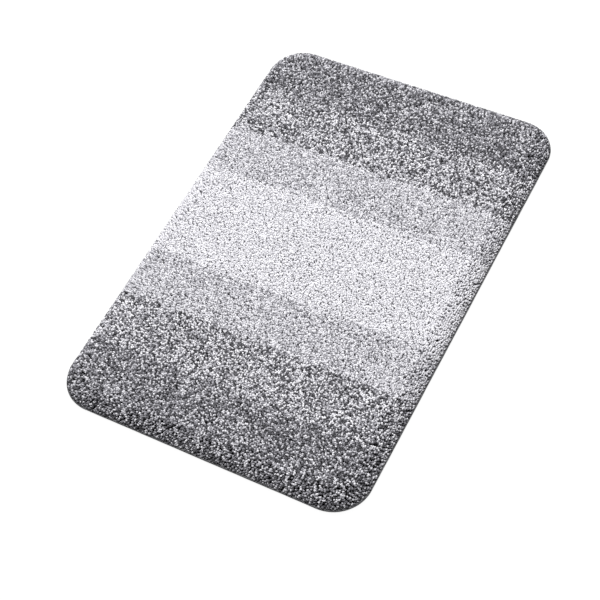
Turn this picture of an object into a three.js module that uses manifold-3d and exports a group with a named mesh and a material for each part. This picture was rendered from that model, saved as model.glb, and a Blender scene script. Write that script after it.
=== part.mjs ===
// A tufted cut-pile bath mat, lying flat.
// Millimetres, +Z up, +X across the width, +Y along the length.
// The origin is the centre of the underside, on the floor.
import * as THREE from "three";
import { mergeVertices } from "three/addons/utils/BufferGeometryUtils.js";
import Module from "manifold-3d";

const wasm = await Module();
wasm.setup();

// ---- driving dimensions ------------------------------------------------------------------
const WIDTH = 600;
const LENGTH = 900;
const HEIGHT = 25;
const CORNER_RADIUS = 70;
const CORNER_STEPS = 9;

// Clearance between pieces that touch on the real mat.
const GAP = 0.3;

// Edge binding: one tape folded round the cut edge of the backing.
const BINDING_HEIGHT = 5;
const TAPE_THICKNESS = 1.4;
const BOTTOM_FLANGE = 14;
const TOP_FLANGE = 8;

// Lockstitch through both flanges: each thread sinks into a furrow in its flange.
const THREAD_WIDTH = 0.8;
const THREAD_HEIGHT = 0.5;
const FURROW_WIDTH = 1.6;
const FURROW_DEPTH = 0.9;
const SEAM_INSET = 6;

// Layers held inside the binding, and the coat inside its bottom flange.
const PRECOAT_THICKNESS = 0.7;
const COAT_THICKNESS = TAPE_THICKNESS - GAP;

// Pile: its wall stands back from the binding and then rounds over into the crown.
const PILE_SETBACK = 2;
const PILE_ROUND = 18;
const ROUND_STEPS = 5;

// Care label, sewn flat on the underside beside the binding.
const LABEL_LENGTH = 45;
const LABEL_WIDTH = 28;
const LABEL_THICKNESS = 0.4;
const LABEL_FROM_CORNER = 110;

// Bands of yarn from the front edge to the rear edge.
const END_BAND = 131;
const MID_BAND = 107;
const LIGHT_BAND = 105;
const CENTRE_BAND = LENGTH - 2 * (END_BAND + MID_BAND + LIGHT_BAND);
const BANDS = [
  { name: "front_dark", length: END_BAND, colour: 0x86868c },
  { name: "front_mid", length: MID_BAND, colour: 0x9e9ea4 },
  { name: "front_light", length: LIGHT_BAND, colour: 0xc4c4ca },
  { name: "centre_white", length: CENTRE_BAND, colour: 0xe6e6ea },
  { name: "rear_light", length: LIGHT_BAND, colour: 0xc4c4ca },
  { name: "rear_mid", length: MID_BAND, colour: 0x9e9ea4 },
  { name: "rear_dark", length: END_BAND, colour: 0x86868c },
];

// ---- helpers -----------------------------------------------------------------------------

// The mat's outline, drawn in by `inset` all round.
function outline(inset) {
  const x = WIDTH / 2 - inset;
  const y = LENGTH / 2 - inset;
  const r = CORNER_RADIUS - inset;
  const shape = new THREE.Shape();
  shape.moveTo(x - r, -y);
  shape.absarc(x - r, -y + r, r, -Math.PI / 2, 0);
  shape.absarc(x - r, y - r, r, 0, Math.PI / 2);
  shape.absarc(-x + r, y - r, r, Math.PI / 2, Math.PI);
  shape.absarc(-x + r, -y + r, r, Math.PI, 1.5 * Math.PI);
  shape.closePath();
  return shape;
}

// A flat layer of the outline between two heights.
function layer(inset, bottom, top) {
  const geometry = new THREE.ExtrudeGeometry(outline(inset), {
    depth: top - bottom,
    bevelEnabled: false,
    curveSegments: CORNER_STEPS,
  });
  return geometry.translate(0, 0, bottom);
}

function block(width, length, bottom, top, x, y) {
  const geometry = new THREE.BoxGeometry(width, length, top - bottom);
  return geometry.translate(x, y, (bottom + top) / 2);
}

function toSolid(geometry) {
  const bare = geometry.clone();
  bare.deleteAttribute("normal");
  bare.deleteAttribute("uv");
  const merged = mergeVertices(bare, 1e-4);
  return new wasm.Manifold(new wasm.Mesh({
    numProp: 3,
    vertProperties: new Float32Array(merged.attributes.position.array),
    triVerts: new Uint32Array(merged.index.array),
  }));
}

function toGeometry(solid) {
  const mesh = solid.getMesh();
  const geometry = new THREE.BufferGeometry();
  geometry.setAttribute("position", new THREE.BufferAttribute(mesh.vertProperties, 3));
  geometry.setIndex(new THREE.BufferAttribute(mesh.triVerts, 1));
  geometry.computeVertexNormals();
  return geometry;
}

// A loop that follows the outline, `width` wide, centred at `inset`.
function loop(inset, width, bottom, top) {
  const outer = toSolid(layer(inset - width / 2, bottom, top));
  const inner = toSolid(layer(inset + width / 2, bottom - 1, top + 1));
  return outer.subtract(inner);
}

function piece(name, solid, colour, roughness) {
  const material = new THREE.MeshStandardMaterial({ color: colour, roughness, metalness: 0 });
  const mesh = new THREE.Mesh(toGeometry(solid), material);
  mesh.name = name;
  return mesh;
}

// ---- the layers --------------------------------------------------------------------------

const precoatBottom = TAPE_THICKNESS + GAP;
const precoatTop = precoatBottom + PRECOAT_THICKNESS;
const backingBottom = precoatTop + GAP;
const backingTop = BINDING_HEIGHT - TAPE_THICKNESS - GAP;
const layerInset = TAPE_THICKNESS + GAP;

const labelX = WIDTH / 2 - LABEL_FROM_CORNER;
const labelY = -LENGTH / 2 + BOTTOM_FLANGE + 2 * GAP + LABEL_WIDTH / 2;

function edgeBinding() {
  const tape = toSolid(layer(0, 0, BINDING_HEIGHT));
  const pocket = toSolid(layer(TAPE_THICKNESS, TAPE_THICKNESS, BINDING_HEIGHT - TAPE_THICKNESS));
  const underHole = toSolid(layer(BOTTOM_FLANGE, -1, BINDING_HEIGHT / 2));
  const topHole = toSolid(layer(TOP_FLANGE, BINDING_HEIGHT / 2, BINDING_HEIGHT + 1));
  const underFurrow = loop(SEAM_INSET, FURROW_WIDTH, -1, FURROW_DEPTH);
  const topFurrow = loop(
    SEAM_INSET, FURROW_WIDTH, BINDING_HEIGHT - FURROW_DEPTH, BINDING_HEIGHT + 1,
  );
  return tape
    .subtract(pocket)
    .subtract(underHole)
    .subtract(topHole)
    .subtract(underFurrow)
    .subtract(topFurrow);
}

function bobbinThread() {
  const bottom = FURROW_DEPTH - GAP - THREAD_HEIGHT;
  return loop(SEAM_INSET, THREAD_WIDTH, bottom, bottom + THREAD_HEIGHT);
}

function needleThread() {
  const bottom = BINDING_HEIGHT - FURROW_DEPTH + GAP;
  return loop(SEAM_INSET, THREAD_WIDTH, bottom, bottom + THREAD_HEIGHT);
}

function antislipCoat() {
  const coat = toSolid(layer(BOTTOM_FLANGE + GAP, 0, COAT_THICKNESS));
  const room = 2 * GAP;
  const recess = toSolid(
    block(LABEL_LENGTH + room, LABEL_WIDTH + room, -1, COAT_THICKNESS + 1, labelX, labelY),
  );
  return coat.subtract(recess);
}

function careLabel() {
  const bottom = COAT_THICKNESS - LABEL_THICKNESS;
  return toSolid(block(LABEL_LENGTH, LABEL_WIDTH, bottom, COAT_THICKNESS, labelX, labelY));
}

// ---- the pile ----------------------------------------------------------------------------

// The whole pile as one cushion: a short wall above the binding, rounded over into the
// crown, and rooted on the backing inside the binding's top flange.
function pileCushion() {
  const wallFoot = BINDING_HEIGHT + GAP;
  const wallTop = HEIGHT - PILE_ROUND;
  const rounded = new THREE.ExtrudeGeometry(outline(PILE_SETBACK), {
    depth: wallTop - wallFoot,
    bevelThickness: PILE_ROUND,
    bevelSize: PILE_ROUND,
    bevelOffset: -PILE_ROUND,
    bevelSegments: ROUND_STEPS,
    curveSegments: CORNER_STEPS,
  });
  rounded.translate(0, 0, wallFoot);
  const below = toSolid(layer(-1, wallFoot - PILE_ROUND - 1, wallFoot));
  const roots = toSolid(layer(TOP_FLANGE + GAP, backingTop + GAP, wallTop));
  return toSolid(rounded).subtract(below).add(roots);
}

function pileBands() {
  const cushion = pileCushion();
  let front = -LENGTH / 2;
  return BANDS.map(({ name, length, colour }) => {
    const middle = front + length / 2;
    const slice = toSolid(block(WIDTH, length - GAP, 0, HEIGHT + 1, 0, middle));
    front += length;
    return piece(`pile_band_${name}`, cushion.intersect(slice), colour, 1);
  });
}

// ---- assembly ----------------------------------------------------------------------------

const mat = new THREE.Group();
mat.add(
  ...pileBands(),
  piece("primary_backing", toSolid(layer(layerInset, backingBottom, backingTop)), 0xb9b9bb, 0.9),
  piece("latex_precoat", toSolid(layer(layerInset, precoatBottom, precoatTop)), 0xd8d6cf, 0.8),
  piece("antislip_coat", antislipCoat(), 0xa7a8ab, 0.7),
  piece("edge_binding", edgeBinding(), 0x77777b, 0.9),
  piece("hem_needle_thread", needleThread(), 0x6c6c70, 0.7),
  piece("hem_bobbin_thread", bobbinThread(), 0x6c6c70, 0.7),
  piece("care_label", careLabel(), 0xf2f2f0, 0.6),
);

export default mat;
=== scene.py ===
"""Looks of a tufted cut-pile bath mat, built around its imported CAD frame. Metres, +Z up."""
import functools
import math

import bpy
import numpy as np
from mathutils import Matrix, Vector
from mathutils.geometry import tessellate_polygon


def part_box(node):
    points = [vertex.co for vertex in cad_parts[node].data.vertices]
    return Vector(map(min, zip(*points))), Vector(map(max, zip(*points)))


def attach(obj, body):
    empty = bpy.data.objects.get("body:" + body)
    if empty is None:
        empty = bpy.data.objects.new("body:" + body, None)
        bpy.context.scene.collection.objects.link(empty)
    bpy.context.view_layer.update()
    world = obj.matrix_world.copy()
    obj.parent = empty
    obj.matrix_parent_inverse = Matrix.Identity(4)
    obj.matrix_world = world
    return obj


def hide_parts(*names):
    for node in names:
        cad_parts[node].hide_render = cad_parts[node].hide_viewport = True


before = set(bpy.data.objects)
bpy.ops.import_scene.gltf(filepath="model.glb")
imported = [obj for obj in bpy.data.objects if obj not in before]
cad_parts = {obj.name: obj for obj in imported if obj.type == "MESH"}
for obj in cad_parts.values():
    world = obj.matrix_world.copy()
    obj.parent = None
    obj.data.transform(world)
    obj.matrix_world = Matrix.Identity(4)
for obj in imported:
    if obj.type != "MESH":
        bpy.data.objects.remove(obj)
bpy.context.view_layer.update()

# ---- sizes read from the frame -----------------------------------------------------------

BINDING_LOW, BINDING_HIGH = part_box("edge_binding")
HALF_WIDTH = BINDING_HIGH[0]
HALF_LENGTH = BINDING_HIGH[1]
BINDING_TOP = BINDING_HIGH[2]
PRECOAT_LOW, PRECOAT_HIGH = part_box("latex_precoat")
BACKING_LOW, BACKING_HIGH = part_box("primary_backing")
COAT_LOW, COAT_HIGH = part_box("antislip_coat")
LABEL_LOW, LABEL_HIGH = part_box("care_label")
THREAD_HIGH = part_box("hem_bobbin_thread")[1]
PILE_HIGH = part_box("pile_band_centre_white")[1]
PILE_TOP = PILE_HIGH[2]
PILE_SETBACK = HALF_WIDTH - PILE_HIGH[0]
LAYER_INSET = HALF_WIDTH - BACKING_HIGH[0]
COAT_INSET = HALF_WIDTH - COAT_HIGH[0]

# ---- sizes of the mat's make -------------------------------------------------------------

CORNER_RADIUS = 0.070

# The pile's edge is shorn round in section: an arc that is this steep where it starts.
SHOULDER_RADIUS = 0.0375
SHOULDER_SLOPE = math.radians(60)
SHOULDER_WIDTH = SHOULDER_RADIUS * math.sin(SHOULDER_SLOPE)

# Binding tape, folded round the edge, and the lockstitch through both its flanges. GAP is
# how far the coat's edges stay from the tape and the label.
TAPE_THICKNESS = 0.0014
FOLD_RADIUS = 0.0021
GAP = 0.0003
BOTTOM_FLANGE = COAT_INSET - GAP
TOP_FLANGE = 0.008
TURNED_EDGE = 0.0004
THREAD_RADIUS = 0.00027
SEAM_WIDTH = 0.0008
SEAM_INSET = HALF_WIDTH - THREAD_HIGH[0] + SEAM_WIDTH / 2
STITCH = 0.004
STATION = STITCH / 4
FURROW_DEPTH = 0.0009
FURROW_HALF = 0.0013
PUCKER = 0.17
WAVINESS = 0.00012

# Tufts: their spacing, and how unevenly they stand (JITTER is a share of the spacing).
ROW_PITCH = 0.0034
TUFT_PITCH = 0.0033
RIM_PITCH = 0.0038
RIM_JITTER = 0.30
JITTER = 0.38
LEAN_SPREAD = 0.0018
LEAN_TO_TILT = 45
BRUSHING = 0.0006
TRIM = 0.0010
UNEVEN = 0.0006
BAND_BLUR = 0.0015
SEED = 11

# The edge: crown tufts lean out from this far in; rim tufts fan from close roots, over the tape.
EDGE_LEAN = 0.004
EDGE_LEAN_REACH = 0.020
EDGE_TILT = math.radians(8)
WALL_TILT = math.radians(58)
PILE_CLEARANCE = 0.0010
OVERHANG = 0.0020
FIRST_ROOT = TOP_FLANGE - PILE_SETBACK + 0.0012
LAST_ROOT = SHOULDER_WIDTH + EDGE_LEAN

# One tuft of yarn: its section, and how far its bend is drawn up from the root and the tip.
YARN_RADIUS = 0.0021
THINNEST, THICKEST = 0.84, 1.14
YARN_SIDES = 6
PLY_DEPTH = 0.14
YARN_TWIST = math.radians(160)
RING_AT = np.array([0.0, 0.55, 0.86, 1.0])
RING_RADIUS = np.array([0.50, 0.84, 1.0, 0.90])
TIP_DOME = 0.0006
ROOT_PULL = 0.42
TIP_PULL = 0.30

# The backing's ribs follow the tuft rows; the coat underneath carries round grip dots.
RIB = 0.00008
DOT_PITCH = 0.0125
DOT_RADIUS = 0.0023
DOT_SIDES = 8
DOT_HEIGHT = 0.0004
DOT_SINK = 0.00005
DOT_CLEARANCE = 0.002
FILM_STEP = 0.004

# Care label: a ribbon folded once, held by a row of running stitches.
RIBBON_THICKNESS = 0.00017
LABEL_STITCHES = 9
LABEL_STITCH = 0.003
LABEL_SEAM = 0.0022
RIBBON_SAG = 0.00004

# ---- yarn shades -------------------------------------------------------------------------

# Each band is tufted from three yarns: (share of the tufts, darkest and lightest reflectance).
BLENDS = {
    "dark": ((0.40, 0.045, 0.15), (0.36, 0.20, 0.40), (0.24, 0.45, 0.80)),
    "mid": ((0.32, 0.05, 0.16), (0.33, 0.25, 0.50), (0.35, 0.58, 0.88)),
    "light": ((0.26, 0.26, 0.46), (0.39, 0.48, 0.70), (0.35, 0.64, 0.84)),
    "white": ((0.30, 0.50, 0.75), (0.35, 0.68, 0.80), (0.35, 0.76, 0.84)),
}
YARN_NAMES = ("deep", "middle", "bright")
DARK_TINT = np.array([1.0, 0.985, 1.10])
WHITE_TINT = np.array([1.0, 0.994, 1.015])

# ---- camera and light --------------------------------------------------------------------

CAMERA_LENS_MM = 91.7
CAMERA_AIM = Vector((0.0120, -0.0897, 0.0))
CAMERA_DISTANCE = 2.779
CAMERA_AZIMUTH = math.radians(36.05)
CAMERA_ELEVATION = math.radians(55.92)
CAMERA_ROLL = math.radians(-10.27)

# A large softbox overhead and a lower one behind on the left, which shades the near edges.
TOP_PLACE = Vector((-0.30, 0.30, 5.64))
TOP_SIZE = 2.5
TOP_POWER = 288
KEY_PLACE = Vector((-2.30, 3.29, 4.01))
KEY_SIZE = 1.8
KEY_POWER = 290
SKY_LIGHT = 0.045
SKY_SEEN = 1.0
FLOOR_SIZE = 6.0
FLOOR_COLOUR = (0.12, 0.12, 0.121, 1)
FLOOR_LIGHT = 0.02
FLOOR_SEEN = 0.88


# ---- UV layout ---------------------------------------------------------------------------

BAKE_UV = "OFBake"
TAPE_LANES, THREAD_LANES = 16, 32
CELL_MARGIN = 0.08
LANE_MARGIN = 0.05


# ---- mesh helpers ------------------------------------------------------------------------

def mesh_object(name, points, faces, smooth=True):
    """An object from an array of points and a list of equal-sided face arrays."""
    mesh = bpy.data.meshes.new(name)
    mesh.vertices.add(len(points))
    mesh.vertices.foreach_set("co", np.asarray(points, dtype=np.float32).ravel())
    corners = np.concatenate([np.asarray(group).ravel() for group in faces])
    sides = np.concatenate([np.full(len(group), np.shape(group)[1]) for group in faces])
    mesh.loops.add(len(corners))
    mesh.loops.foreach_set("vertex_index", corners.astype(np.int32))
    mesh.polygons.add(len(sides))
    starts = np.concatenate([[0], np.cumsum(sides)[:-1]])
    mesh.polygons.foreach_set("loop_start", starts.astype(np.int32))
    mesh.update(calc_edges=True)
    mesh.polygons.foreach_set("use_smooth", np.full(len(sides), smooth))
    made = bpy.data.objects.new(name, mesh)
    bpy.context.scene.collection.objects.link(made)
    return made


def set_uv(made, layer, uv):
    """Adds a UV layer from every face corner's coordinates."""
    made.data.uv_layers.new(name=layer).data.foreach_set("uv", uv.astype(np.float32).ravel())


def finish_piece(made, material, slot, *nodes):
    """Gives a piece its material and the root body, and hides the CAD nodes it replaces; its
    slot is not used.
    """
    made.data.materials.append(material)
    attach(made, "root")
    if nodes:
        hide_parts(*nodes)
    return made


def tube_faces(stations, section, closed):
    """Quads of a tube of `stations` rings of `section` points, joined end to end if closed."""
    i = np.arange(stations if closed else stations - 1)[:, None]
    j = np.arange(section)[None, :]
    ring, after = i * section, (i + 1) % stations * section
    corners = (ring + j, ring + (j + 1) % section, after + (j + 1) % section, after + j)
    return np.stack(corners, axis=2).reshape(-1, 4)


def tube_uvs(stations, across, spacing):
    """Each corner's distance along a closed tube (u) and round its section (v), in metres."""
    i = np.arange(stations)[:, None]
    near, far = across[:-1][None, :], across[1:][None, :]
    u0, u1 = i * spacing + 0 * near, (i + 1) * spacing + 0 * near
    low, high = near + 0 * i, far + 0 * i
    return np.stack([u0, low, u0, high, u1, high, u1, low], axis=2).reshape(-1, 4, 2)


def lane_chart(uv, lanes):
    """Lays a long strip's UVs out as stacked lanes of the unit square."""
    length, width = uv[..., 0].max(), uv[..., 1].max()
    along, across = uv[..., 0] / length * lanes, uv[..., 1] / width
    lane = np.floor(along.min(axis=1) + 1e-6)[:, None]
    inside = LANE_MARGIN + (1 - 2 * LANE_MARGIN) * across
    return np.stack([along - lane, (lane + inside) / lanes], axis=2)


def flat_chart(made):
    """Gives upward faces the left half of the unit square, and downward faces the right."""
    mesh = made.data
    points = np.empty(len(mesh.vertices) * 3)
    mesh.vertices.foreach_get("co", points)
    corner = np.empty(len(mesh.loops), dtype=np.int32)
    mesh.loops.foreach_get("vertex_index", corner)
    sides = np.empty(len(mesh.polygons), dtype=np.int32)
    mesh.polygons.foreach_get("loop_total", sides)
    normals = np.empty(len(mesh.polygons) * 3)
    mesh.polygons.foreach_get("normal", normals)
    down = np.repeat(normals.reshape(-1, 3)[:, 2] < -0.05, sides)
    place = points.reshape(-1, 3)[corner, :2] / (HALF_WIDTH, HALF_LENGTH)
    u = 0.25 + 0.24 * place[:, 0] + 0.5 * down
    set_uv(made, BAKE_UV, np.column_stack([u, 0.5 + 0.49 * place[:, 1]]))


# ---- the outline -------------------------------------------------------------------------

CORE = np.array([HALF_WIDTH - CORNER_RADIUS, HALF_LENGTH - CORNER_RADIUS])


def edge_distance(xy):
    """How far inside the mat's outline each point lies."""
    beyond = np.abs(xy) - CORE
    round_part = np.linalg.norm(np.maximum(beyond, 0), axis=1)
    flat_part = np.minimum(beyond.max(axis=1), 0)
    return CORNER_RADIUS - round_part - flat_part


def outward(xy):
    """The direction from each point to the nearest edge."""
    beyond = np.abs(xy) - CORE
    corner = (beyond > 0).all(axis=1)
    way = np.where(beyond == beyond.max(axis=1, keepdims=True), 1.0, 0.0)
    way[corner] = beyond[corner] / np.linalg.norm(beyond[corner], axis=1, keepdims=True)
    return way * np.where(xy < 0, -1, 1)


def outline_stations(inset, spacing, phase=0.5):
    """Evenly spaced stations round the outline: a point on the corners' core rectangle and
    the outward direction. The outline drawn in by d is core + (CORNER_RADIUS - d) * out."""
    corners = CORE * np.array([[1, -1], [1, 1], [-1, 1], [-1, -1]])
    arc = (CORNER_RADIUS - inset) * math.pi / 2
    sides = 2 * CORE[[1, 0, 1, 0]]
    total = sides.sum() + 4 * arc
    count = round(total / spacing)
    walked = (np.arange(count) + phase) * total / count
    core, angle = np.zeros((count, 2)), np.zeros(count)
    start = 0.0
    for turn in range(4):
        a, b = corners[turn], corners[(turn + 1) % 4]
        side, here = sides[turn], walked - start
        straight = (here >= 0) & (here < side)
        core[straight] = a + (b - a) * (here[straight, None] / side)
        angle[straight] = turn * math.pi / 2
        bend = (here >= side) & (here < side + arc)
        core[bend] = b
        angle[bend] = (turn + (here[bend] - side) / arc) * math.pi / 2
        start += side + arc
    return core, np.stack([np.cos(angle), np.sin(angle)], axis=1)


def drawn_in(core, out, inset):
    """The outline's points, each drawn in by its inset."""
    return core + (CORNER_RADIUS - np.asarray(inset))[..., None] * out


# ---- the pile ----------------------------------------------------------------------------

def waves(xy, pitch, *phases):
    """A smooth, uneven rolling value about 0, with hills about `pitch` apart."""
    x, y = xy[:, 0] * 2 * math.pi / pitch, xy[:, 1] * 2 * math.pi / pitch
    first, second, third = phases
    return (np.sin(0.83 * x + 0.41 * y + first) + np.sin(0.57 * y - 0.92 * x + second)
            + np.sin(1.13 * y + 0.21 * x + third)) / 2


def crown_lean(depth):
    """How far a crown tuft's root lies further in than its tip, and its tilt, near the edge."""
    near = np.clip(1 - (depth - SHOULDER_WIDTH) / EDGE_LEAN_REACH, 0, 1)
    return EDGE_LEAN * near ** 2, EDGE_TILT * near ** 2


def crown_tufts(rng):
    """Tufts of the flat crown, in rows across the mat, each leaning a little its own way."""
    rows = np.arange(-HALF_LENGTH, HALF_LENGTH, ROW_PITCH) + ROW_PITCH / 2
    columns = np.arange(-HALF_WIDTH, HALF_WIDTH, TUFT_PITCH) + TUFT_PITCH / 2
    y, x = np.meshgrid(rows, columns, indexing="ij")
    x = x + rng.uniform(0, TUFT_PITCH, len(rows))[:, None]
    tip = np.stack([x.ravel(), y.ravel()], axis=1)
    tip += rng.uniform(-JITTER, JITTER, tip.shape) * (TUFT_PITCH, ROW_PITCH)
    depth = edge_distance(tip) - PILE_SETBACK
    row_y = y.ravel()[depth > SHOULDER_WIDTH]
    tip, depth = tip[depth > SHOULDER_WIDTH], depth[depth > SHOULDER_WIDTH]
    inward, tilt = crown_lean(depth)
    out = outward(tip)
    brushed = np.column_stack([waves(tip, 0.29, 0.6, 1.9, 4.0), waves(tip, 0.23, 2.2, 4.1, 0.3)])
    lean = rng.normal(0, LEAN_SPREAD, tip.shape) + BRUSHING * brushed
    root = tip - lean - out * inward[:, None]
    z = PILE_TOP - TRIM - rng.gamma(2.0, UNEVEN / 2, len(tip))
    up = np.column_stack([out * np.sin(tilt)[:, None], np.cos(tilt)])
    up[:, :2] += lean * LEAN_TO_TILT
    return root, np.column_stack([tip, z]), up, row_y


def shoulder_section(foot):
    """The pile's edge in section from its foot up: length climbed, inset, height and slope."""
    slope = np.linspace(SHOULDER_SLOPE, 0, 60)
    inset = SHOULDER_WIDTH - SHOULDER_RADIUS * np.sin(slope)
    height = np.maximum(foot, PILE_TOP - SHOULDER_RADIUS * (1 - np.cos(slope)))
    return SHOULDER_RADIUS * (SHOULDER_SLOPE - slope), inset, height, slope


def rim_tufts(rng):
    """Rows that follow the outline and fan out over the rounded edge."""
    climb_at, inset_at, height_at, slope_at = shoulder_section(BINDING_TOP + PILE_CLEARANCE)
    full = climb_at[-1]
    steps = round(full / RIM_PITCH)
    rows = []
    for step in range(steps):
        core, out = outline_stations(PILE_SETBACK, TUFT_PITCH, phase=rng.random())
        climb = (step + 0.5 + rng.uniform(-RIM_JITTER, RIM_JITTER, len(core))) / steps * full
        steep = np.interp(climb, climb_at, slope_at) / SHOULDER_SLOPE
        inset = PILE_SETBACK + np.interp(climb, climb_at, inset_at) - OVERHANG * steep
        height = np.interp(climb, climb_at, height_at)
        in_corner = np.abs(core).sum(axis=1) > CORE.sum() - 1e-6
        spare = np.where(in_corner, (CORNER_RADIUS - inset) / CORNER_RADIUS, 1)
        kept = rng.random(len(core)) < spare
        tuck = TRIM + rng.gamma(2.0, UNEVEN / 2, len(core))
        root_inset = PILE_SETBACK + FIRST_ROOT + (LAST_ROOT - FIRST_ROOT) * climb / full
        along = np.stack([-out[:, 1], out[:, 0]], axis=1)
        shift = rng.uniform(-JITTER, JITTER, len(core)) * TUFT_PITCH
        sway = rng.normal(0, LEAN_SPREAD, len(core))
        root = drawn_in(core, out, root_inset) + along * shift[:, None]
        tip = drawn_in(core, out, inset + tuck * steep) + along * (shift + sway)[:, None]
        tilt = EDGE_TILT + (WALL_TILT - EDGE_TILT) * steep
        up = np.column_stack([out * np.sin(tilt)[:, None], np.cos(tilt)])
        row = root, np.column_stack([tip, height - tuck * (1 - steep)]), up, tip[:, 1]
        rows.append([part[kept] for part in row])
    return [np.concatenate(parts) for parts in zip(*rows)]


def tuft_paths(root, tip, up):
    """Ring centres, tangents and a steady cross direction along each tuft's bend."""
    start = np.column_stack([root, np.full(len(root), BACKING_HIGH[2])])
    reach = np.linalg.norm(tip - start, axis=1)[:, None]
    rise = start + np.array([0, 0, ROOT_PULL]) * reach
    arrive = tip - up * reach * TIP_PULL
    t = RING_AT[None, :, None]
    a, b, c, d = (p[:, None, :] for p in (start, rise, arrive, tip))
    centre = (1 - t) ** 3 * a + 3 * (1 - t) ** 2 * t * b + 3 * (1 - t) * t ** 2 * c + t ** 3 * d
    ahead = 3 * (1 - t) ** 2 * (b - a) + 6 * (1 - t) * t * (c - b) + 3 * t ** 2 * (d - c)
    ahead /= np.linalg.norm(ahead, axis=2, keepdims=True)
    sideways = np.cross(tip - start, up + [1e-3, 2e-3, 0])[:, None, :]
    sideways = sideways - (sideways * ahead).sum(axis=2, keepdims=True) * ahead
    sideways /= np.linalg.norm(sideways, axis=2, keepdims=True) + 1e-12
    return centre, ahead, sideways


def tuft_points(centre, ahead, sideways, rng):
    """Ring points of every tuft, then one dome point each."""
    count, rings = centre.shape[:2]
    other = np.cross(ahead, sideways)
    around = np.arange(YARN_SIDES) * 2 * math.pi / YARN_SIDES
    angle = around[None, None, :] + (RING_AT * YARN_TWIST)[None, :, None]
    angle = angle + rng.uniform(0, 2 * math.pi, count)[:, None, None]
    thick = YARN_RADIUS * rng.uniform(THINNEST, THICKEST, count)
    radius = thick[:, None, None] * RING_RADIUS[None, :, None]
    radius = radius * (1 + PLY_DEPTH * np.cos(2 * around))[None, None, :]
    ring = centre[:, :, None, :] + radius[..., None] * (
        np.cos(angle)[..., None] * sideways[:, :, None, :]
        + np.sin(angle)[..., None] * other[:, :, None, :]
    )
    dome = centre[:, -1] + ahead[:, -1] * TIP_DOME
    flat = ring.reshape(count, rings * YARN_SIDES, 3)
    return np.concatenate([flat, dome[:, None, :]], axis=1)


def tuft_faces(count, rings):
    """Side quads, dome triangles and the closed foot of every tuft."""
    k = np.arange(YARN_SIDES)
    after = (k + 1) % YARN_SIDES
    level = np.arange(rings - 1)[:, None] * YARN_SIDES
    quad = np.stack([level + k, level + after, level + YARN_SIDES + after,
                     level + YARN_SIDES + k], axis=2).reshape(-1, 4)
    top = (rings - 1) * YARN_SIDES
    dome = np.stack([top + k, top + after, np.full(YARN_SIDES, rings * YARN_SIDES)], axis=1)
    foot = k[::-1][None, :]
    first = (np.arange(count) * (rings * YARN_SIDES + 1))[:, None, None]
    return [(first + part[None]).reshape(-1, part.shape[1]) for part in (quad, dome, foot)]


def tuft_uvs(count, rings):
    """Each corner's place on its yarn: round it (u) and from root to tip (v)."""
    k = np.arange(YARN_SIDES)
    low = np.repeat(RING_AT[:-1], YARN_SIDES)
    high = np.repeat(RING_AT[1:], YARN_SIDES)
    u0 = np.tile(k, rings - 1) / YARN_SIDES
    u1 = u0 + 1 / YARN_SIDES
    quad = np.stack([u0, low, u1, low, u1, high, u0, high], axis=1).reshape(-1, 2)
    ends = k / YARN_SIDES
    one = np.ones(YARN_SIDES)
    dome = np.stack([ends, 0.96 * one, ends + 1 / YARN_SIDES, 0.96 * one,
                     ends + 0.5 / YARN_SIDES, one], axis=1).reshape(-1, 2)
    foot = np.stack([ends[::-1], 0 * one], axis=1)
    return [np.tile(part, (count, 1)) for part in (quad, dome, foot)]


def cell_chart(uvs, count):
    """Gives every tuft its own cell of the unit square."""
    cells = math.ceil(math.sqrt(count))
    column, row = np.arange(count) % cells, np.arange(count) // cells
    corner = np.stack([column, row], axis=1)
    placed = []
    for part in uvs:
        each = len(part) // count
        inside = CELL_MARGIN + (1 - 2 * CELL_MARGIN) * part.reshape(count, each, 2)
        placed.append(((corner[:, None, :] + inside) / cells).reshape(-1, 2))
    return np.concatenate(placed)


def tuft_piece(name, chosen, tufts, shade, rng):
    """The chosen tufts as one object, with UVs and a shade for each tuft."""
    root, tip, up = (part[chosen] for part in tufts)
    points = tuft_points(*tuft_paths(root, tip, up), rng)
    count, rings = len(root), len(RING_AT)
    made = mesh_object(name, points.reshape(-1, 3), tuft_faces(count, rings))
    uvs = tuft_uvs(count, rings)
    set_uv(made, BAKE_UV, cell_chart(uvs, count))
    set_uv(made, "yarn", np.concatenate(uvs))
    tone = made.data.attributes.new("tuft_shade", "FLOAT", "POINT")
    each = np.repeat(shade[chosen], points.shape[1])
    tone.data.foreach_set("value", each.astype(np.float32))
    return made


def pile():
    """Every band's tufts, shared out at random between the band's three yarns."""
    rng = np.random.default_rng(SEED)
    crown, rim = crown_tufts(rng), rim_tufts(rng)
    root, tip, up, row_y = (np.concatenate(pair) for pair in zip(crown, rim))
    yarn_draw, shade = rng.random(len(root)), rng.random(len(root))
    row_y = row_y + rng.normal(0, BAND_BLUR, len(root))
    bands = [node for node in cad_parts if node.startswith("pile_band_")]
    rears = {node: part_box(node)[1][1] for node in bands}
    front = -math.inf
    for node in sorted(bands, key=rears.get):
        rear = rears[node] if rears[node] < HALF_LENGTH - 0.01 else math.inf
        kind = node.split("_")[-1]
        in_band = (row_y > front) & (row_y <= rear)
        front, used = rear, 0.0
        for yarn, (share, darkest, lightest) in zip(YARN_NAMES, BLENDS[kind]):
            chosen = in_band & (yarn_draw >= used) & (yarn_draw < used + share + 1e-9)
            used += share
            name = node.replace("pile_band", "pile") + f"_{yarn}_yarn"
            made = tuft_piece(name, chosen, (root, tip, up), shade, rng)
            material = yarn_material(f"pile_{kind}_{yarn}", darkest, lightest)
            finish_piece(made, material, f"pile_{kind}", node)


# ---- the binding and its seam ------------------------------------------------------------

def furrow_depth(walked):
    """Depth of the seam's furrow along the tape: deepest at the needle holes."""
    return FURROW_DEPTH * (1 - PUCKER + PUCKER * np.cos(2 * math.pi * walked / STITCH))


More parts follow.
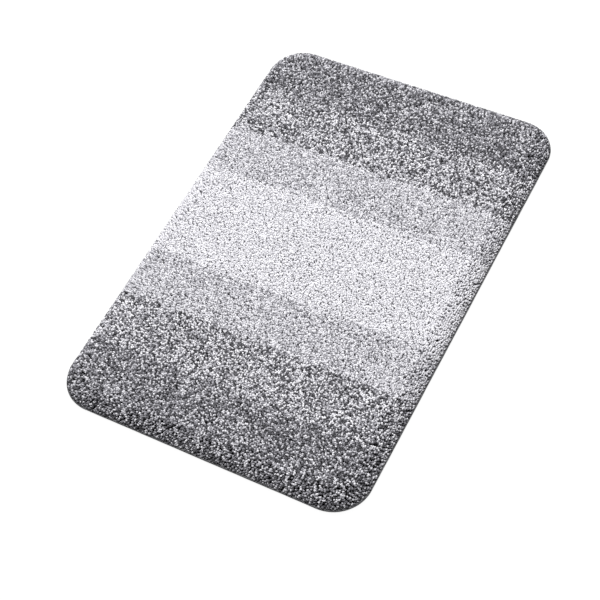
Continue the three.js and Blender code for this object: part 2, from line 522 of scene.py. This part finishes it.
def quarter(centre, radius, start, steps=4):
    """Points of a quarter turn in section, clockwise from `start` degrees."""
    angle = np.radians(start - np.linspace(0, 90, steps))
    return np.stack([centre[0] + radius * np.cos(angle), centre[1] + radius * np.sin(angle)], 1)


def tape_section():
    """The folded tape in section: (inset, height) round it, and each point's furrow share."""
    across = np.array([1, 0.5, 0, -0.5, -1]) * FURROW_HALF
    seam = SEAM_INSET + across
    share = np.array([0, 0.6, 1, 0.6, 0])
    inner = FOLD_RADIUS - TAPE_THICKNESS
    low, high = (FOLD_RADIUS, FOLD_RADIUS), (FOLD_RADIUS, BINDING_TOP - FOLD_RADIUS)
    roof = BINDING_TOP - TAPE_THICKNESS
    parts = [
        (np.array([[BOTTOM_FLANGE, TAPE_THICKNESS / 3], [BOTTOM_FLANGE - TURNED_EDGE, 0]]), 0),
        (np.column_stack([seam, 0 * seam]), share),
        (quarter(low, FOLD_RADIUS, 270), 0),
        (quarter(high, FOLD_RADIUS, 180), 0),
        (np.column_stack([seam[::-1], 0 * seam + BINDING_TOP]), -share),
        (np.array([[TOP_FLANGE - TURNED_EDGE, BINDING_TOP],
                   [TOP_FLANGE, BINDING_TOP - TAPE_THICKNESS / 3], [TOP_FLANGE, roof]]), 0),
        (quarter(high, inner, 180, 2)[::-1], 0),
        (quarter(low, inner, 270, 2)[::-1], 0),
        (np.array([[BOTTOM_FLANGE, TAPE_THICKNESS]]), 0),
    ]
    points = np.concatenate([part for part, _ in parts])
    sink = np.concatenate([np.broadcast_to(amount, len(part)) for part, amount in parts])
    return points, sink


def edge_binding():
    """The folded tape, drawn along the outline, a little uneven and sunk at its seam."""
    core, out = outline_stations(0, STATION)
    section, sink = tape_section()
    walked = np.arange(len(core)) * STATION
    wave = WAVINESS * (np.sin(walked * 61) + np.sin(walked * 149 + 1) + np.sin(walked * 23 + 2))
    inset = section[None, :, 0] + 0.5 * (wave + 3 * WAVINESS)[:, None]
    height = section[None, :, 1] + sink[None, :] * furrow_depth(walked)[:, None]
    xy = drawn_in(core[:, None, :], out[:, None, :], inset)
    points = np.concatenate([xy, height[..., None]], axis=2).reshape(-1, 3)
    made = mesh_object("binding_tape", points, [tube_faces(len(core), len(section), True)])
    closed = np.vstack([section, section[:1]])
    across = np.append(0, np.cumsum(np.linalg.norm(np.diff(closed, axis=0), axis=1)))
    uv = tube_uvs(len(core), across, STATION)
    set_uv(made, BAKE_UV, lane_chart(uv, TAPE_LANES))
    set_uv(made, "tape", uv)
    return finish_piece(made, tape_material(), "binding_tape", "edge_binding")


def seam_thread(name, node, surface_height, side):
    """A thread that lies on the tape between the needle holes and dips into each of them."""
    core, out = outline_stations(0, STATION)
    walked = np.arange(len(core)) * STATION
    arch = np.abs(np.sin(math.pi * walked / STITCH))
    height = surface_height - side * (furrow_depth(walked) - THREAD_RADIUS * arch)
    angle = np.arange(YARN_SIDES) * 2 * math.pi / YARN_SIDES
    inset = SEAM_INSET + THREAD_RADIUS * np.cos(angle)
    xy = drawn_in(core[:, None, :], out[:, None, :], inset[None, :])
    z = height[:, None] + THREAD_RADIUS * np.sin(angle)[None, :]
    points = np.concatenate([xy, z[..., None]], axis=2).reshape(-1, 3)
    made = mesh_object(name, points, [tube_faces(len(core), YARN_SIDES, True)[:, ::-1]])
    around = np.linspace(0, 2 * math.pi * THREAD_RADIUS, YARN_SIDES + 1)
    uv = tube_uvs(len(core), around, STATION)[:, ::-1]
    set_uv(made, BAKE_UV, lane_chart(uv, THREAD_LANES))
    set_uv(made, "thread", uv)
    return finish_piece(made, thread_material(), "thread", node)


# ---- the layers under the pile -----------------------------------------------------------

def ribbed_layer(name, low, high):
    """A sheet that fills the outline inside the binding, ribbed by the rows of stitches."""
    radius = CORNER_RADIUS - LAYER_INSET
    rows, columns = round(4 * HALF_LENGTH / ROW_PITCH), 41
    y = np.linspace(-1, 1, rows) * (HALF_LENGTH - LAYER_INSET)
    beyond = np.clip(np.abs(y) - CORE[1], 0, radius)
    half = CORE[0] + np.sqrt(np.maximum(radius ** 2 - beyond ** 2, 0))
    x = half[:, None] * np.linspace(-1, 1, columns)[None, :]
    rib = RIB * (np.arange(rows) % 2)[:, None] + 0 * x
    grid = [x, y[:, None] + 0 * x]
    upper = np.stack(grid + [high - rib], axis=2).reshape(-1, 3)
    lower = np.stack(grid + [low + rib], axis=2).reshape(-1, 3)
    at = np.arange(rows * columns).reshape(rows, columns)
    quad = np.stack([at[:-1, :-1], at[:-1, 1:], at[1:, 1:], at[1:, :-1]], axis=2).reshape(-1, 4)
    rim = np.concatenate([at[0, :-1], at[:-1, -1], at[-1, :0:-1], at[:0:-1, 0]])
    after = np.roll(rim, -1)
    under = rows * columns
    wall = np.stack([rim + under, after + under, after, rim], axis=1)
    made = mesh_object(name, np.concatenate([upper, lower]),
                       [quad, quad[:, ::-1] + under, wall])
    flat_chart(made)
    return made


def film_mesh(outer, hole, low, high):
    """Points and faces of a flat film with one hole."""
    loops = [[Vector((x, y, 0)) for x, y in loop] for loop in (outer, hole)]
    fill = np.array(tessellate_polygon(loops))
    flat = np.concatenate([outer, hole])
    a, b, c = (flat[fill[:, k]] for k in range(3))
    up = np.cross(b - a, c - a) > 0
    fill[~up] = fill[~up][:, ::-1]
    count = len(flat)
    points = np.concatenate([np.column_stack([flat, np.full(count, z)]) for z in (high, low)])
    walls = []
    for first, loop in ((0, outer), (len(outer), hole)):
        here = first + np.arange(len(loop))
        after = np.roll(here, -1)
        walls.append(np.stack([here + count, after + count, after, here], axis=1))
    return points, fill, fill[:, ::-1] + count, np.concatenate(walls)


def dot_places():
    """Centres of the grip dots, in a staggered pattern clear of the edge and the label."""
    row_pitch = DOT_PITCH * math.sqrt(3) / 2
    rows = np.arange(-round(HALF_LENGTH / row_pitch), round(HALF_LENGTH / row_pitch) + 1)
    columns = np.arange(-round(HALF_WIDTH / DOT_PITCH), round(HALF_WIDTH / DOT_PITCH) + 1)
    row, column = np.meshgrid(rows, columns, indexing="ij")
    xy = np.stack([(column + row % 2 / 2) * DOT_PITCH, row * row_pitch], axis=2).reshape(-1, 2)
    room = DOT_RADIUS + DOT_CLEARANCE
    middle = np.array((LABEL_LOW + LABEL_HIGH) / 2)[:2]
    half = np.array((LABEL_HIGH - LABEL_LOW) / 2)[:2]
    clear = (np.abs(xy - middle) > half + room).any(axis=1)
    return xy[clear & (edge_distance(xy) > COAT_INSET + room)]


def dot_mesh(places, first, base):
    """Domed dots that stand down from the film to the floor, each a closed shell."""
    angle = np.arange(DOT_SIDES) * 2 * math.pi / DOT_SIDES
    ring = np.stack([np.cos(angle), np.sin(angle)], axis=1) * DOT_RADIUS
    levels = ((1.0, base + DOT_SINK), (0.86, base - 0.6 * DOT_HEIGHT), (0.5, base - DOT_HEIGHT))
    shell = np.concatenate([np.column_stack([ring * share, np.full(DOT_SIDES, z)])
                            for share, z in levels])
    offset = np.column_stack([places, np.zeros(len(places))])
    points = (offset[:, None, :] + shell[None]).reshape(-1, 3)
    side = tube_faces(len(levels), DOT_SIDES, False)[:, ::-1]
    caps = np.stack([np.arange(DOT_SIDES), np.arange(3 * DOT_SIDES - 1, 2 * DOT_SIDES - 1, -1)])
    start = first + (np.arange(len(places)) * len(shell))[:, None, None]
    return points, [(start + part[None]).reshape(-1, part.shape[1]) for part in (side, caps)]


def antislip_coat():
    """The film under the mat with its grip dots and the window round the label."""
    core, out = outline_stations(COAT_INSET, FILM_STEP)
    outer = drawn_in(core, out, COAT_INSET)
    low, high = np.array(LABEL_LOW)[:2] - GAP, np.array(LABEL_HIGH)[:2] + GAP
    hole = np.array([low, [low[0], high[1]], high, [high[0], low[1]]])
    base = COAT_LOW[2] + DOT_HEIGHT
    points, top, bottom, walls = film_mesh(outer, hole, base, COAT_HIGH[2])
    dots, dot_faces = dot_mesh(dot_places(), len(points), base)
    made = mesh_object("antislip_coat_dotted", np.concatenate([points, dots]),
                       [top, bottom, walls, *dot_faces], smooth=False)
    flat_chart(made)
    return finish_piece(made, coat_material(), "antislip", "antislip_coat")


# ---- the care label ----------------------------------------------------------------------

def care_label():
    """A satin ribbon folded once, its fold away from the binding."""
    half = RIBBON_THICKNESS / 2
    low, high = LABEL_LOW[2] + half, LABEL_HIGH[2] - half
    loop = (high - low) / 2
    start, fold = LABEL_LOW[1], LABEL_HIGH[1] - loop - half
    run = np.linspace(start, fold, 14)
    turn = np.linspace(-math.pi / 2, math.pi / 2, 7)[1:-1]
    sag = RIBBON_SAG * np.sin(np.linspace(0, 3 * math.pi, len(run)))
    line = np.concatenate([
        np.column_stack([run, low + sag.clip(0)]),
        np.column_stack([fold + loop * np.cos(turn), (low + high) / 2 + loop * np.sin(turn)]),
        np.column_stack([run[::-1], high - sag.clip(0)]),
    ])
    ahead = np.gradient(line, axis=0)
    ahead /= np.linalg.norm(ahead, axis=1, keepdims=True)
    side = np.column_stack([-ahead[:, 1], ahead[:, 0]]) * half
    section = np.concatenate([line + side, (line - side)[::-1]])
    columns = np.linspace(LABEL_LOW[0], LABEL_HIGH[0], 16)
    points = np.concatenate([np.column_stack([np.full(len(section), x), section])
                             for x in columns])
    count = len(section)
    k = np.arange(len(line) - 1)
    end = np.stack([k, count - 1 - k, count - 2 - k, k + 1], axis=1)
    faces = [tube_faces(len(columns), count, False), end[:, ::-1],
             end + (len(columns) - 1) * count]
    made = mesh_object("care_label_ribbon", points, faces)
    finish_piece(made, ribbon_material(), "label", "care_label")
    long_way = np.linalg.norm(np.diff(line, axis=0), axis=1).sum()
    return made, (LABEL_HIGH[0] - LABEL_LOW[0], long_way)


def label_stitches():
    """Short running stitches that hold the label by its long edge."""
    pitch = (LABEL_HIGH[0] - LABEL_LOW[0]) / LABEL_STITCHES
    along = np.linspace(-0.5, 0.5, 7)
    angle = np.arange(YARN_SIDES) * 2 * math.pi / YARN_SIDES
    bow = THREAD_RADIUS * (1 - (2 * along) ** 4)
    thin = np.sqrt(1 - 0.7 * (2 * along) ** 6)
    points, faces = [], []
    for k in range(LABEL_STITCHES):
        x = LABEL_LOW[0] + (k + 0.5) * pitch + along * LABEL_STITCH
        y = LABEL_LOW[1] + LABEL_SEAM + THREAD_RADIUS * thin[:, None] * np.cos(angle)
        z = LABEL_LOW[2] - bow[:, None] * 0.6 + THREAD_RADIUS * thin[:, None] * np.sin(angle)
        first = len(points) * len(along) * YARN_SIDES
        points.append(np.stack([x[:, None] + 0 * y, y, z], axis=2).reshape(-1, 3))
        faces.append(first + tube_faces(len(along), YARN_SIDES, False))
    ends = np.arange(YARN_SIDES)
    starts = np.arange(LABEL_STITCHES)[:, None] * len(along) * YARN_SIDES
    caps = [starts + ends[::-1], starts + (len(along) - 1) * YARN_SIDES + ends]
    made = mesh_object("care_label_stitches", np.concatenate(points), faces + caps)
    return finish_piece(made, thread_material(), "thread")


# ---- materials ---------------------------------------------------------------------------

def surface(name, roughness, specular=0.3):
    """A new material and the helper that adds its nodes."""
    material = bpy.data.materials.new(name)
    material.use_nodes = True
    shader = material.node_tree.nodes["Principled BSDF"]
    shader.inputs["Roughness"].default_value = roughness
    shader.inputs["Specular IOR Level"].default_value = specular
    return material, Nodes(material.node_tree, shader)


class Nodes:
    """Short calls for the few node kinds that the materials here use."""

    def __init__(self, tree, shader):
        self.tree, self.shader = tree, shader

    def add(self, kind, **inputs):
        node = self.tree.nodes.new(kind)
        for key, value in inputs.items():
            self.put(node, key, value)
        return node

    def put(self, node, key, value):
        socket = node.inputs[key.replace("_", " ")] if isinstance(key, str) else node.inputs[key]
        if isinstance(value, bpy.types.NodeSocket):
            self.tree.links.new(value, socket)
        else:
            socket.default_value = value

    def math(self, operation, a, b=0.0):
        node = self.add("ShaderNodeMath")
        node.operation = operation
        self.put(node, 0, a)
        self.put(node, 1, b)
        return node.outputs[0]

    def mixed(self, a, share, b):
        """a * (1 - share) + b * share"""
        return self.math("ADD", self.math("MULTIPLY", a, 1 - share),
                         self.math("MULTIPLY", b, share))

    def uv(self, layer):
        """The two coordinates of a UV layer."""
        place = self.add("ShaderNodeUVMap")
        place.uv_map = layer
        split = self.add("ShaderNodeSeparateXYZ", Vector=place.outputs["UV"])
        return split.outputs["X"], split.outputs["Y"]

    def place(self):
        return self.add("ShaderNodeTexCoord").outputs["Object"]

    def noise(self, scale, detail=2.0):
        return self.add("ShaderNodeTexNoise", Vector=self.place(), Scale=scale,
                        Detail=detail).outputs["Fac"]

    def ridges(self, coordinate, pitch):
        """A sine that swings from 0 to 1 every `pitch` metres."""
        swing = self.math("SINE", self.math("MULTIPLY", coordinate, 2 * math.pi / pitch))
        return self.math("MULTIPLY", self.math("ADD", swing, 1.0), 0.5)

    def ramp(self, factor, *stops):
        node = self.add("ShaderNodeValToRGB", Fac=factor)
        while len(node.color_ramp.elements) < len(stops):
            node.color_ramp.elements.new(0.5)
        for element, (place, colour) in zip(node.color_ramp.elements, stops):
            element.position = place
            element.color = (*colour, 1)
        return node.outputs["Color"]

    def multiply(self, a, b):
        node = self.add("ShaderNodeMix")
        node.data_type = "RGBA"
        node.blend_type = "MULTIPLY"
        node.inputs["Factor"].default_value = 1
        self.put(node, 6, a)
        self.put(node, 7, b)
        return node.outputs[2]

    def colour(self, value):
        self.put(self.shader, "Base Color", value)

    def roughness(self, factor, low, high):
        spread = self.math("MULTIPLY", factor, high - low)
        self.put(self.shader, "Roughness", self.math("ADD", spread, low))

    def bump(self, height, distance, strength=1.0):
        node = self.add("ShaderNodeBump", Height=height, Distance=distance, Strength=strength)
        self.put(self.shader, "Normal", node.outputs["Normal"])


def tinted(grey):
    """A grey that is slightly violet when dark and almost neutral when white."""
    tint = DARK_TINT + (WHITE_TINT - DARK_TINT) * grey
    return tuple(np.minimum(tint * grey, 0.96))


@functools.cache
def yarn_material(name, darkest, lightest):
    """Twisted cut-pile yarn: tufts differ a little, fibres wind round it, and painted shade
    darkens each tuft towards its root.
    """
    material, n = surface(name, roughness=0.8, specular=0.2)
    shade = n.add("ShaderNodeAttribute")
    shade.attribute_name = "tuft_shade"
    round_it, from_root = n.uv("yarn")
    wound = n.math("ADD", round_it, n.math("MULTIPLY", from_root, 0.8))
    plies = n.math("SINE", n.math("MULTIPLY", wound, 12 * math.pi))
    fibres = n.noise(2600.0)
    tone = n.mixed(shade.outputs["Fac"], 0.3, fibres)
    tone = n.math("ADD", tone, n.math("MULTIPLY", plies, 0.10))
    colour = n.ramp(tone, (0.12, tinted(darkest)), (0.88, tinted(lightest)))
    # Painted shade: the colour darkens from the tip down to the root, less for pale yarn, in
    # place of the shade deep between the tufts.
    painted_root_shade = 0.58 + 0.35 * darkest
    root = n.ramp(from_root, (0.2, (painted_root_shade,) * 3), (0.9, (1, 1, 1)))
    n.colour(n.multiply(colour, root))
    n.shader.inputs["Sheen Weight"].default_value = 0.05
    n.shader.inputs["Sheen Roughness"].default_value = 0.4
    n.bump(n.math("ADD", plies, fibres), 0.00015, 0.6)
    return material


def woven(n, along, across, pitch):
    """Height of a plain weave: ribs one way where the other way's threads dip."""
    warp, weft = n.ridges(along, pitch), n.ridges(across, pitch)
    over = n.ridges(n.math("ADD", along, across), 2 * pitch)
    return n.mixed(warp, 0.5, n.math("MULTIPLY", weft, over))


def tape_material():
    """Woven polyester tape: fine ribs across it, a faint slub, and its colour lighter on the
    weave's high spots and darker in its dips.
    """
    material, n = surface("binding_tape", roughness=0.85, specular=0.25)
    along, across = n.uv("tape")
    weave = woven(n, along, across, 0.0008)
    slub = n.noise(90.0, 3.0)
    tone = n.mixed(weave, 0.45, slub)
    n.colour(n.ramp(tone, (0.15, (0.11, 0.11, 0.117)), (0.85, (0.28, 0.28, 0.292))))
    n.roughness(slub, 0.75, 0.95)
    n.shader.inputs["Sheen Weight"].default_value = 0.25
    n.shader.inputs["Sheen Roughness"].default_value = 0.4
    n.bump(weave, 0.00012, 0.8)
    return material


@functools.cache
def thread_material():
    """Three-ply polyester sewing thread, its plies wound at a slant."""
    material, n = surface("seam_thread", roughness=0.55, specular=0.4)
    along, round_it = n.uv("thread")
    wound = n.math("ADD", along, n.math("MULTIPLY", round_it, 0.6))
    plies = n.ridges(wound, 0.0006)
    tone = n.mixed(plies, 0.35, n.noise(900.0))
    n.colour(n.ramp(tone, (0.1, (0.12, 0.12, 0.13)), (0.9, (0.33, 0.33, 0.345))))
    n.roughness(plies, 0.45, 0.65)
    n.bump(plies, 0.00008, 0.9)
    return material


def backing_material():
    """Backing cloth woven from flat plastic tapes, a little uneven in tone."""
    material, n = surface("backing_cloth", roughness=0.6, specular=0.35)
    split = n.add("ShaderNodeSeparateXYZ", Vector=n.place())
    weave = woven(n, split.outputs["X"], split.outputs["Y"], 0.0024)
    tone = n.mixed(weave, 0.4, n.noise(160.0, 3.0))
    n.colour(n.ramp(tone, (0.15, (0.33, 0.33, 0.335)), (0.85, (0.62, 0.62, 0.615))))
    n.roughness(weave, 0.5, 0.7)
    n.bump(weave, 0.00015, 0.7)
    return material


def precoat_material():
    """Dried latex: cream, mottled, with small bubbles and the stitch rows showing through."""
    material, n = surface("latex_precoat", roughness=0.6, specular=0.4)
    split = n.add("ShaderNodeSeparateXYZ", Vector=n.place())
    rows = n.ridges(split.outputs["Y"], ROW_PITCH)
    mottle = n.noise(45.0, 4.0)
    tone = n.mixed(mottle, 0.25, rows)
    n.colour(n.ramp(tone, (0.2, (0.58, 0.56, 0.50)), (0.8, (0.76, 0.74, 0.68))))
    n.roughness(mottle, 0.5, 0.75)
    n.bump(n.mixed(rows, 0.5, n.noise(700.0)), 0.0002, 0.6)
    return material


def coat_material():
    """Light grey rubbery latex with a fine orange-peel skin and a few scuffs."""
    material, n = surface("antislip_latex", roughness=0.55, specular=0.45)
    mottle, peel = n.noise(30.0, 4.0), n.noise(900.0, 2.0)
    tone = n.mixed(mottle, 0.3, peel)
    n.colour(n.ramp(tone, (0.2, (0.36, 0.362, 0.37)), (0.8, (0.50, 0.502, 0.51))))
    n.roughness(peel, 0.42, 0.68)
    n.bump(n.mixed(peel, 0.3, mottle), 0.00012, 0.6)
    return material


def ribbon_material():
    """Blank white satin ribbon: fine floats along it and a soft shine."""
    material, n = surface("label_satin", roughness=0.35, specular=0.5)
    split = n.add("ShaderNodeSeparateXYZ", Vector=n.place())
    floats = n.ridges(split.outputs["X"], 0.00035)
    tone = n.mixed(floats, 0.5, n.noise(600.0))
    n.colour(n.ramp(tone, (0.1, (0.74, 0.74, 0.735)), (0.9, (0.88, 0.88, 0.875))))
    n.roughness(floats, 0.28, 0.45)
    n.shader.inputs["Sheen Weight"].default_value = 0.2
    n.bump(floats, 0.00003, 0.6)
    return material


def soft_glow(tree, lighting, seen):
    """Strength of a glow that lights the mat less than it whitens the backdrop."""
    path = tree.nodes.new("ShaderNodeLightPath")
    strength = tree.nodes.new("ShaderNodeMapRange")
    tree.links.new(path.outputs["Is Camera Ray"], strength.inputs["Value"])
    strength.inputs["To Min"].default_value = lighting
    strength.inputs["To Max"].default_value = seen
    return strength.outputs["Result"]


def floor_material():
    """Plain pale floor with an even glow, so that it stays white under a soft light."""
    material, n = surface("studio_floor", roughness=0.9, specular=0.1)
    n.colour(FLOOR_COLOUR)
    n.shader.inputs["Emission Color"].default_value = (1, 1, 1, 1)
    glow = soft_glow(material.node_tree, FLOOR_LIGHT, FLOOR_SEEN)
    material.node_tree.links.new(glow, n.shader.inputs["Emission Strength"])
    return material


# ---- stage -------------------------------------------------------------------------------

def floor():
    corners = np.array([[-1, -1, 0], [1, -1, 0], [1, 1, 0], [-1, 1, 0]]) * FLOOR_SIZE
    made = mesh_object("studio_floor", corners, [np.array([[0, 1, 2, 3]])], smooth=False)
    made.data.materials.append(floor_material())


def softbox(name, place, size, power):
    """A square area light, turned to the middle of the mat."""
    lamp = bpy.data.lights.new(name, "AREA")
    lamp.size = size
    lamp.energy = power
    made = bpy.data.objects.new(name, lamp)
    made.location = place
    made.rotation_euler = (-place).to_track_quat("-Z", "Y").to_euler()
    bpy.context.scene.collection.objects.link(made)


def sky():
    """Even light from all round, and a paler backdrop where the camera sees it."""
    world = bpy.data.worlds.new("studio")
    world.use_nodes = True
    tree = world.node_tree
    back = tree.nodes["Background"]
    back.inputs["Color"].default_value = (1, 1, 1, 1)
    tree.links.new(soft_glow(tree, SKY_LIGHT, SKY_SEEN), back.inputs["Strength"])
    bpy.context.scene.world = world


def camera():
    """The photo's view: a long lens, high in front and to the right, rolled a little."""
    lens = bpy.data.cameras.new("camera")
    lens.lens = CAMERA_LENS_MM
    made = bpy.data.objects.new("camera", lens)
    away = Vector((math.sin(CAMERA_AZIMUTH) * math.cos(CAMERA_ELEVATION),
                   -math.cos(CAMERA_AZIMUTH) * math.cos(CAMERA_ELEVATION),
                   math.sin(CAMERA_ELEVATION)))
    turned = away.to_track_quat("Z", "Y").to_matrix() @ Matrix.Rotation(CAMERA_ROLL, 3, "Z")
    made.matrix_world = Matrix.Translation(CAMERA_AIM + away * CAMERA_DISTANCE) @ turned.to_4x4()
    bpy.context.scene.collection.objects.link(made)
    bpy.context.scene.camera = made


# ---- the mat -----------------------------------------------------------------------------

camera()
pile()

binding = edge_binding()
needle_thread = seam_thread("needle_thread", "hem_needle_thread", BINDING_TOP, 1)
bobbin_thread = seam_thread("bobbin_thread", "hem_bobbin_thread", BINDING_LOW[2], -1)

backing = ribbed_layer("backing_cloth", BACKING_LOW[2], BACKING_HIGH[2])
finish_piece(backing, backing_material(), "backing_cloth", "primary_backing")
precoat = ribbed_layer("precoat_film", PRECOAT_LOW[2], PRECOAT_HIGH[2])
finish_piece(precoat, precoat_material(), "precoat", "latex_precoat")
coat = antislip_coat()
label, label_flat = care_label()
stitches = label_stitches()

floor()
softbox("top_light", TOP_PLACE, TOP_SIZE, TOP_POWER)
softbox("key_light", KEY_PLACE, KEY_SIZE, KEY_POWER)
sky()
bpy.context.scene.view_settings.view_transform = "Standard"
